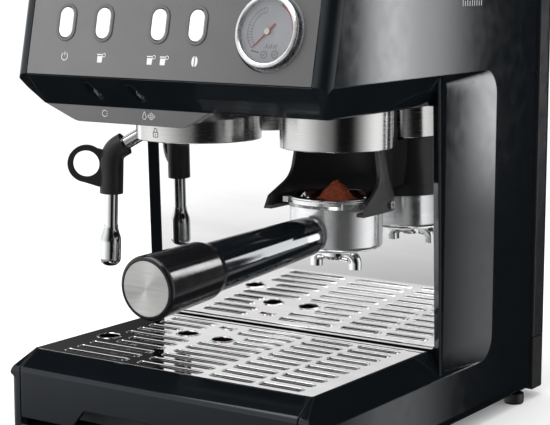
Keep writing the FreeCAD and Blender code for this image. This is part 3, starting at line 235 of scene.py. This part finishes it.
class Finish:
    """A Principled material whose colour, roughness and surface come from procedural nodes."""

    def __init__(self, name, color, roughness, metallic=0.0, **sockets):
        self.material = bpy.data.materials.new(name)
        self.material.use_nodes = True
        self.tree = self.material.node_tree
        self.shader = self.tree.nodes["Principled BSDF"]
        self.color = color
        self.roughness = roughness
        self.shader.inputs["Metallic"].default_value = metallic
        for socket, value in sockets.items():
            self.shader.inputs[socket.replace("_", " ")].default_value = value
        self.place = add_node(self.tree, "ShaderNodeTexCoord").outputs["Object"]

    def noise(self, size, detail=3.0, stretch=(1.0, 1.0, 1.0)):
        """Noise with features about size metres across, drawn out along the axes by stretch."""
        mapping = add_node(self.tree, "ShaderNodeMapping")
        mapping.inputs["Scale"].default_value = [1.0 / (size * s) for s in stretch]
        texture = add_node(self.tree, "ShaderNodeTexNoise")
        texture.inputs["Scale"].default_value = 1.0
        texture.inputs["Detail"].default_value = detail
        self.tree.links.new(self.place, mapping.inputs[0])
        self.tree.links.new(mapping.outputs[0], texture.inputs["Vector"])
        return texture.outputs["Fac"]

    def spread(self, value, low, high):
        """The middle range of a noise value, stretched to run from low to high."""
        made = add_node(self.tree, "ShaderNodeMapRange")
        for index, number in enumerate((0.3, 0.7, low, high)):
            made.inputs[index + 1].default_value = number
        self.tree.links.new(value, made.inputs[0])
        return made.outputs[0]

    def mottle(self, value, amount, tint=(1.0, 1.0, 1.0)):
        """Colour that drifts by amount either side of its own, along value."""
        made = add_node(self.tree, "ShaderNodeMix", data_type="RGBA")
        darker = [c * (1 - amount) for c in self.color]
        lighter = [min(1.0, c * (1 + amount) * t) for c, t in zip(self.color, tint)]
        made.inputs["A"].default_value = (*darker, 1)
        made.inputs["B"].default_value = (*lighter, 1)
        self.tree.links.new(self.spread(value, 0.0, 1.0), made.inputs["Factor"])
        self.tree.links.new(made.outputs["Result"], self.shader.inputs["Base Color"])
        return self

    def wear(self, value, amount):
        """Roughness that drifts by amount either side of its own, along value."""
        low, high = self.roughness * (1 - amount), self.roughness * (1 + amount)
        self.tree.links.new(self.spread(value, low, high), self.shader.inputs["Roughness"])
        return self

    def relief(self, value, depth, edge=0.0):
        """Bumps up to depth metres; edge rounds the sharp corners as seen by the light."""
        bump = add_node(self.tree, "ShaderNodeBump")
        bump.inputs["Strength"].default_value = 1.0
        bump.inputs["Distance"].default_value = depth
        self.tree.links.new(value, bump.inputs["Height"])
        if edge:
            corner = add_node(self.tree, "ShaderNodeBevel", samples=4)
            corner.inputs["Radius"].default_value = edge
            self.tree.links.new(corner.outputs[0], bump.inputs["Normal"])
        self.tree.links.new(bump.outputs[0], self.shader.inputs["Normal"])
        return self

    def brushed_round(self, centre, axis, amount):
        """Brush marks that run round an axis through centre."""
        away = add_node(self.tree, "ShaderNodeVectorMath", operation="SUBTRACT")
        self.tree.links.new(self.place, away.inputs[0])
        away.inputs[1].default_value = centre
        turn = add_node(self.tree, "ShaderNodeVectorMath", operation="CROSS_PRODUCT")
        turn.inputs[0].default_value = axis
        self.tree.links.new(away.outputs[0], turn.inputs[1])
        unit = add_node(self.tree, "ShaderNodeVectorMath", operation="NORMALIZE")
        self.tree.links.new(turn.outputs[0], unit.inputs[0])
        self.tree.links.new(unit.outputs[0], self.shader.inputs["Tangent"])
        self.shader.inputs["Anisotropic"].default_value = amount
        self.shader.inputs["Anisotropic Rotation"].default_value = 0.25
        return self


def plastic(name, color, roughness, grain, depth, edge=MOULDED_EDGE, drift=0.12, **sockets):
    """Moulded plastic: a fine grain, a slow drift in gloss and slightly rounded edges."""
    made = Finish(name, color, roughness, **sockets)
    made.mottle(made.noise(0.03, 4), drift)
    made.wear(made.noise(0.012, 5), 1.8 * drift)
    return made.relief(made.noise(grain, 2), depth, edge).material


def metal(name, color, roughness, streak, depth, **sockets):
    """Polished or plated metal with faint polishing streaks."""
    made = Finish(name, color, roughness, metallic=1.0, **sockets)
    made.mottle(made.noise(0.02, 4, streak), 0.05)
    made.wear(made.noise(0.004, 5, streak), 0.35)
    return made.relief(made.noise(0.003, 3, streak), depth, METAL_EDGE).material


def turned_steel(name, node, axis, roughness=0.24):
    """Steel brushed round its own axis, as it comes off a lathe."""
    made = Finish(name, (0.8, 0.8, 0.79), roughness, metallic=1.0)
    lines = [0.00012 if abs(a) > 0.5 else 0.05 for a in axis]
    made.mottle(made.noise(1.0, 2, lines), 0.07)
    made.wear(made.noise(1.0, 2, lines), 0.25)
    made.brushed_round(middle(node), axis, 0.82)
    return made.relief(made.noise(1.0, 2, lines), 0.000004, METAL_EDGE).material


def glass(name, color, roughness):
    """Clear moulded or pressed pane, with a faint ripple."""
    made = Finish(name, color, roughness, IOR=1.45)
    made.shader.inputs["Transmission Weight"].default_value = 1.0
    made.mottle(made.noise(0.03, 2), 0.03)
    made.wear(made.noise(0.01, 3), 0.3)
    return made.relief(made.noise(0.02, 2), 0.000005).material


def painted_glow_cap(name):
    """Milky button cap; its faint white emission is a painted glow that brightens it, not a lamp behind it.
    """
    made = Finish(name, (0.72, 0.72, 0.72), 0.3, Emission_Strength=0.12)
    made.shader.inputs["Emission Color"].default_value = (1.0, 1.0, 1.0, 1)
    made.mottle(made.noise(0.006, 3), 0.05)
    made.wear(made.noise(0.004, 3), 0.2)
    return made.relief(made.noise(0.0012, 2), 0.00001, MOULDED_EDGE).material


def ink(name, color):
    """Print on a surface."""
    made = Finish(name, color, 0.45)
    made.mottle(made.noise(0.001, 3), 0.08)
    return made.relief(made.noise(0.0006, 2), 0.000003).material


def coffee_finish():
    """Freshly ground coffee."""
    made = Finish("ground_coffee", (0.3, 0.075, 0.03), 0.8)
    made.mottle(made.noise(0.0009, 4), 0.75, (1.1, 0.9, 0.8))
    return made.relief(made.noise(0.0007, 3), 0.0005).material


def make_finishes():
    """Every finish, by the name of its material slot, or of the one node that wears it."""
    up = (0.0, 0.0, 1.0)
    made = {
        "gloss_black": plastic("gloss_black", (0.0045, 0.006, 0.0075), 0.065, 0.0016, 0.000002,
                               edge=0.0012, Specular_Tint=(0.9, 0.95, 1.0, 1.0)),
        "matte_black": plastic("matte_black", (0.009, 0.0095, 0.0105), 0.5, 0.0007, 0.00003,
                               Specular_IOR_Level=0.35),
        "rubber_black": plastic("rubber_black", (0.012, 0.012, 0.012), 0.42, 0.0005, 0.00002),
        "tank_black": plastic("tank_black", (0.012, 0.013, 0.015), 0.16, 0.003, 0.00001),
        "panel_graphite": plastic("panel_graphite", (0.078, 0.078, 0.079), 0.46, 0.0002, 0.000004,
                                  drift=0.02, Metallic=0.5),
        "dial_grey": plastic("dial_grey", (0.44, 0.45, 0.48), 0.45, 0.0004, 0.000004),
        "needle_red": plastic("needle_red", (0.5, 0.09, 0.08), 0.4, 0.0004, 0.000004),
        "float_red": plastic("float_red", (0.35, 0.01, 0.03), 0.3, 0.0006, 0.00001),
        "board_green": plastic("board_green", (0.01, 0.09, 0.03), 0.45, 0.0009, 0.00002),
        "silicone": plastic("silicone", (0.62, 0.6, 0.56), 0.5, 0.0008, 0.00002,
                            Subsurface_Weight=0.1),
        "cast_aluminium": metal("cast_aluminium", (0.62, 0.62, 0.63), 0.42, (1, 1, 1), 0.00004),
        "burr_steel": metal("burr_steel", (0.55, 0.55, 0.56), 0.3, (1, 1, 1), 0.00001),
        "mirror_steel": metal("mirror_steel", (0.9, 0.9, 0.9), 0.035, (6, 1, 1), 0.0000012),
        "chrome": metal("chrome", (0.86, 0.87, 0.88), 0.05, (1, 1, 3), 0.000002),
        "brushed_steel": metal("brushed_steel", (0.72, 0.72, 0.72), 0.26, (20, 0.3, 0.3), 0.000003),
        "clear_glass": glass("clear_glass", (1.0, 1.0, 1.0), 0.02),
        "smoked_clear": glass("smoked_clear", (0.45, 0.45, 0.47), 0.05),
        # the button caps wear a painted glow: a white emission that lightens them
        "button_white": painted_glow_cap("button_white"),
    }
    made["button_bezels"] = plastic("bezel_grey", (0.1, 0.1, 0.105), 0.3, 0.0004, 0.000003, drift=0.04)
    made["gauge_bezel"] = metal("satin_bezel", (0.86, 0.86, 0.87), 0.28, (1, 1, 1), 0.000002)
    made["portafilter_cradle"] = plastic("satin_black", (0.02, 0.02, 0.021), 0.36, 0.0006, 0.000012)
    made["handle_sleeve"] = plastic("satin_sleeve", (0.006, 0.006, 0.007), 0.14, 0.0008, 0.000003)
    made["portafilter_body"] = metal("polished_casting", (0.86, 0.87, 0.88), 0.2, (3, 3, 1), 0.0000015,
                                     Metallic=0.92)
    made["group_collar"] = turned_steel("group_collar_steel", "group_collar", up)
    made["grinder_collar"] = turned_steel("grinder_collar_steel", "grinder_collar", up)
    made["handle_end_cap"] = turned_steel("end_cap_steel", "handle_end_cap", (0.0, 1.0, 0.0), 0.42)
    return made


def paint_frame(finishes):
    """Gives every CAD node its own finish, or its slot's."""
    slots = {part["node"]: part["material_slot"] for part in frame["record"]["subparts"]}
    for name, node in frame["nodes"].items():
        chosen = finishes.get(name) or finishes[slots[name]]
        node.data.materials.clear()
        node.data.materials.append(chosen)


# ---- printed marks ---------------------------------------------------------------------
def strip(points, width, closed=False):
    """Flat quads along a line of points."""
    ends = points + points[:1] if closed else points
    quads = []
    for (ax, ay), (bx, by) in zip(ends, ends[1:]):
        length = math.hypot(bx - ax, by - ay)
        sx, sy = (by - ay) / length * width / 2, (ax - bx) / length * width / 2
        quads.append([(ax + sx, ay + sy), (bx + sx, by + sy), (bx - sx, by - sy), (ax - sx, ay - sy)])
    return quads


def arc(x, y, radius, start, end, squeeze=1.0):
    """Points on an arc between two angles in degrees; squeeze narrows it across."""
    steps = 24
    turns = [math.radians(start + (end - start) * step / steps) for step in range(steps + 1)]
    return [(x + radius * squeeze * math.cos(turn), y + radius * math.sin(turn)) for turn in turns]


def moved(faces, x, y, scale):
    """The same faces, scaled about zero and moved by x, y."""
    return [[(px * scale + x, py * scale + y) for px, py in face] for face in faces]


def new_piece(name, mesh, material, body):
    """Adds a mesh object that wears material and rides on a body."""
    mesh.materials.append(material)
    piece = bpy.data.objects.new(name, mesh)
    bpy.context.scene.collection.objects.link(piece)
    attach(piece, body)


def print_marks(name, faces, place, material, body="housing"):
    """Ink: flat faces laid on a surface by place(u, v)."""
    mesh = bpy.data.meshes.new(name)
    points = [place(*corner) for face in faces for corner in face]
    corners, start = [], 0
    for face in faces:
        corners.append(tuple(range(start, start + len(face))))
        start += len(face)
    mesh.from_pydata(points, [], corners)
    new_piece(name, mesh, material, body)


CUP = ([[(-2.9, -4.2), (2.3, -4.2), (2.7, 1.4), (-3.1, 1.4)]]
       + strip([(-3.5, 2.7), (2.9, 2.7)], 0.9) + strip(arc(4.1, 2.3, 1.5, 0, 360), 0.6))
POWER = strip(arc(0, 0, 3.4, 125, 415), 0.7) + strip([(0, 0.8), (0, 4.3)], 0.7)
BEAN = [arc(-0.5, 0, 4.4, 90, 270, 0.6), arc(0.5, 0, 4.4, -90, 90, 0.6)]
STEAM = (strip(arc(0, 0, 2.9, 50, 310), 0.7)
         + [face for y in (-2.0, 0.0, 2.0) for face in strip([(2.6, y), (3.5, y)], 0.8)])
DROP = strip([(0, 4.4)] + arc(0, -1.0, 2.1, 150, 390)[::-1], 0.6, closed=True)
DIAMOND = (strip([(0, 3.3), (4.3, 0), (0, -3.3), (-4.3, 0)], 0.6, closed=True)
           + strip(arc(0, 0, 1.3, 0, 360), 0.6))
PADLOCK = (strip([(-2.4, -3.6), (2.4, -3.6), (2.4, 0.2), (-2.4, 0.2)], 0.6, closed=True)
           + strip([(-1.5, 0.2)] + arc(0, 1.7, 1.5, 180, 0) + [(1.5, 0.2)], 0.6)
           + strip([(0, -2.4), (0, -1.0)], 0.7))

# where the marks are, in millimetres
INK_LIFT = 0.12                 # ink stands this far off its surface
PANEL_ICONS_S = 14.4
PANEL_ICON_SCALE = 0.86
VISOR_FACE_Y = -144.3
VISOR_ICONS_Z = 261.2
VISOR_ICON_SCALE = 0.8
WALL_FACE_X = 142.0
COLLAR_AT = (-48.0, -55.0)      # x and y of the group collar's axis
COLLAR_R = 50.0
COLLAR_INK_LIFT = 0.1
LOCK_TURN = 185.5               # azimuth of the padlock on the group collar, degrees
LOCK_Z = 244.3
DIAL_FACE_N = 1.0
HUB_FACE_N = 3.15
HUB_R = 2.3
SCALE_INNER_R = 13.6            # the dial's scale of cells
SCALE_OUTER_R = 17.2
SCALE_START, SCALE_END, SCALE_STEP = 100, 222, 8    # degrees
RED_ZONE_R = 20.9
DIAL_RINGS = ((-1.5, -16.0), (7.5, -15.6))          # middles of the two ringed marks
DIAL_STROKES = ((-0.5, 3.0), (1.6, 2.2), (3.6, 3.2), (5.6, 2.4), (7.4, 3.0))    # x and height
DIAL_STROKES_S = -11.6
GRIND_TICKS = 9                 # ticks of the grind scale on the right wall
GRIND_TICKS_Y = 28.0
GRIND_TICK_STEP = 3.8
GRIND_TICKS_Z = 341.0
GRIND_TICK_HEIGHTS = (6.0, 4.0)


def on_visor(x, z):
    """Just in front of the plate below the gloss band."""
    return at(x, VISOR_FACE_Y - INK_LIFT, z)


def on_collar(across, up):
    """On the group collar, across it to the right of the padlock and up."""
    turn = math.radians(LOCK_TURN) - across / COLLAR_R
    reach = COLLAR_R + COLLAR_INK_LIFT
    return at(COLLAR_AT[0] + reach * math.sin(turn), COLLAR_AT[1] + reach * math.cos(turn), LOCK_Z + up)


def on_right_wall(y, z):
    """On the outside of the machine's right wall."""
    return at(WALL_FACE_X + INK_LIFT, y, z)


def on_dial(x, s):
    """On the gauge's dial, measured from its middle."""
    return on_panel(GAUGE_AT[0] + x, GAUGE_AT[1] + s, DIAL_FACE_N + INK_LIFT)


def dial_marks():
    """Scale of small cells at the left of the dial and generic marks at its foot."""
    faces = []
    for radius in (SCALE_OUTER_R, SCALE_INNER_R):
        faces += strip(arc(0, 0, radius, SCALE_START, SCALE_END), 0.35)
    for turn in range(SCALE_START, SCALE_END + 1, SCALE_STEP):
        x, s = math.cos(math.radians(turn)), math.sin(math.radians(turn))
        faces += strip([(radius * x, radius * s) for radius in (SCALE_INNER_R, SCALE_OUTER_R)], 0.3)
    for x, s in DIAL_RINGS:
        faces += strip(arc(x, s, 2.5, 0, 360), 0.5)
        faces += strip([(x - 1.3, s - 0.9), (x + 1.3, s + 0.9)], 0.6)
    for x, tall in DIAL_STROKES:
        faces += strip([(x, DIAL_STROKES_S), (x + 0.9, DIAL_STROKES_S + tall)], 0.6)
    faces += strip([(-12.5, -13.4), (-6.0, -14.6)], 0.9)
    return faces


def grind_ticks():
    """A row of ticks, long and short in turn."""
    faces = []
    for tick in range(GRIND_TICKS):
        y = GRIND_TICKS_Y + GRIND_TICK_STEP * tick
        faces += strip([(y, GRIND_TICKS_Z), (y, GRIND_TICKS_Z + GRIND_TICK_HEIGHTS[tick % 2])], 0.9)
    return faces


def make_marks():
    """Every printed mark."""
    white = ink("ink_white", (0.62, 0.62, 0.62))
    dark = ink("ink_dark", (0.09, 0.095, 0.1))
    red = ink("ink_red", (0.42, 0.075, 0.08))
    for name, faces, x in (("power_icon", POWER, -93.4), ("one_cup_icon", CUP, -58.6),
                           ("two_cup_icon_a", CUP, -11.6), ("two_cup_icon_b", CUP, 0.4),
                           ("bean_icon", BEAN, 28.8)):
        print_marks(name, moved(faces, x, PANEL_ICONS_S, PANEL_ICON_SCALE),
                    lambda u, v: on_panel(u, v, INK_LIFT), white)
    for name, faces, x in (("steam_icon", STEAM, -70.0), ("water_icon", DROP, -31.5),
                           ("steam_diamond_icon", DIAMOND, -25.0)):
        print_marks(name, moved(faces, x, VISOR_ICONS_Z, VISOR_ICON_SCALE), on_visor, white)
    print_marks("padlock_icon", PADLOCK, on_collar, dark)
    print_marks("dial_scale", dial_marks(), on_dial, dark)
    print_marks("dial_red_zone", strip(arc(0, 0, RED_ZONE_R, 64, -40), 1.8), on_dial, red)
    print_marks("needle_hub", [arc(*GAUGE_AT, HUB_R, 0, 345)], lambda u, v: on_panel(u, v, HUB_FACE_N),
                ink("ink_hub", (0.8, 0.74, 0.66)), "gauge_needle")
    print_marks("grind_scale", grind_ticks(), on_right_wall, white)


# ---- pressed rims of the grate -----------------------------------------------------------
# the lip's section: millimetres out from the opening's edge and up from the sheet
RIM_PROFILE = ((0.0, -0.3), (0.15, 0.3), (0.5, 0.62), (1.0, 0.6), (1.5, 0.3), (1.9, 0.02))


def opening_loops(node):
    """Outlines of the openings in a node's top sheet, as lists of points, without the sheet's own rim."""
    built = bmesh.new()
    built.from_mesh(frame["nodes"][node].data)
    bmesh.ops.remove_doubles(built, verts=built.verts, dist=1e-6)
    top = max(vert.co.z for vert in built.verts)
    beside = {}
    for edge in built.edges:
        tilts = sorted(face.normal.z for face in edge.link_faces)
        on_top = all(abs(vert.co.z - top) < 1e-5 for vert in edge.verts)
        if on_top and len(tilts) == 2 and abs(tilts[0]) < 0.2 and tilts[1] > 0.9:
            first, second = edge.verts
            beside.setdefault(first, []).append(second)
            beside.setdefault(second, []).append(first)
    loops = []
    while beside:
        start = next(iter(beside))
        loop, here = [], start
        while here in beside:
            loop.append(here.co.copy())
            onward = [vert for vert in beside.pop(here) if vert in beside]
            here = onward[0] if onward else None
        loops.append(loop)
    built.free()
    loops.sort(key=lambda loop: sum((b - a).length for a, b in zip(loop, loop[1:])))
    return loops[:-1]


def make_grate_rims(material):
    """The rounded lip pressed up around every opening of the grate."""
    points, faces = [], []
    for loop in opening_loops("drip_grate"):
        area = sum(a.x * b.y - b.x * a.y for a, b in zip(loop, loop[1:] + loop[:1]))
        side = MM if area > 0 else -MM
        start, count, rows = len(points), len(loop), len(RIM_PROFILE)
        for index, here in enumerate(loop):
            along = loop[(index + 1) % count] - loop[index - 1]
            away = Vector((along.y, -along.x, 0)).normalized() * side
            points += [here + away * out + Vector((0, 0, up * MM)) for out, up in RIM_PROFILE]
        for index in range(count):
            now, following = start + index * rows, start + (index + 1) % count * rows
            faces += [(now + row, following + row, following + row + 1, now + row + 1)
                      for row in range(rows - 1)]
    mesh = bpy.data.meshes.new("grate_rims")
    mesh.from_pydata(points, [], faces)
    mesh.shade_smooth()
    new_piece("grate_rims", mesh, material, "drip_grate")


# ---- ground coffee ------------------------------------------------------------------------
HEAP_AT = (81.0, -55.0)
HEAP_EDGE = 29.4                # radius where the heap meets the basket's wall
HEAP_TOP_Z = 214.5
HEAP_SLOPE = 1.12
HEAP_RINGS, HEAP_STEPS = 44, 120
GRAINS = 420


def heap_height(x, y):
    """z of the heap's surface, x and y from its middle."""
    reach = math.hypot(x, y)
    clumps = 1.3 * noise.noise(Vector((x, y, 3.0)) / 3.1)
    crumbs = 0.75 * noise.noise(Vector((x, y, 9.0)))
    return HEAP_TOP_Z - HEAP_SLOPE * math.sqrt(reach * reach + 12.0) + clumps + crumbs


def make_coffee(material):
    """A heap of ground coffee in the basket, with loose grains on it."""
    random.seed(5)
    built = bmesh.new()
    last = [built.verts.new(at(*HEAP_AT, heap_height(0, 0)))] * HEAP_STEPS
    for ring in range(1, HEAP_RINGS + 1):
        reach = HEAP_EDGE * ring / HEAP_RINGS
        now = []
        for step in range(HEAP_STEPS):
            turn = 2 * math.pi * step / HEAP_STEPS
            x, y = reach * math.cos(turn), reach * math.sin(turn)
            now.append(built.verts.new(at(HEAP_AT[0] + x, HEAP_AT[1] + y, heap_height(x, y))))
        for step in range(HEAP_STEPS):
            following = (step + 1) % HEAP_STEPS
            corners = [last[step], now[step], now[following]]
            if ring > 1:
                corners.append(last[following])
            built.faces.new(corners)
        last = now
    for _ in range(GRAINS):
        reach, turn = HEAP_EDGE * 0.97 * math.sqrt(random.random()), random.uniform(0, 2 * math.pi)
        x, y = reach * math.cos(turn), reach * math.sin(turn)
        size = random.uniform(0.35, 0.95)
        place = at(HEAP_AT[0] + x, HEAP_AT[1] + y, heap_height(x, y) + size * 0.4)
        turned = Matrix.Rotation(random.uniform(0, 6.3), 4, Vector((random.random(), random.random(), 1.0)))
        bmesh.ops.create_icosphere(built, subdivisions=1, radius=size * MM,
                                   matrix=Matrix.Translation(place) @ turned)
    mesh = bpy.data.meshes.new("ground_coffee")
    built.to_mesh(mesh)
    built.free()
    new_piece("ground_coffee", mesh, material, "portafilter")


make_camera()
make_surroundings()
make_floor()
make_lights()
FINISHES = make_finishes()
paint_frame(FINISHES)
make_marks()
make_grate_rims(FINISHES["mirror_steel"])
make_coffee(coffee_finish())

bpy.context.scene.view_settings.view_transform = "Standard"
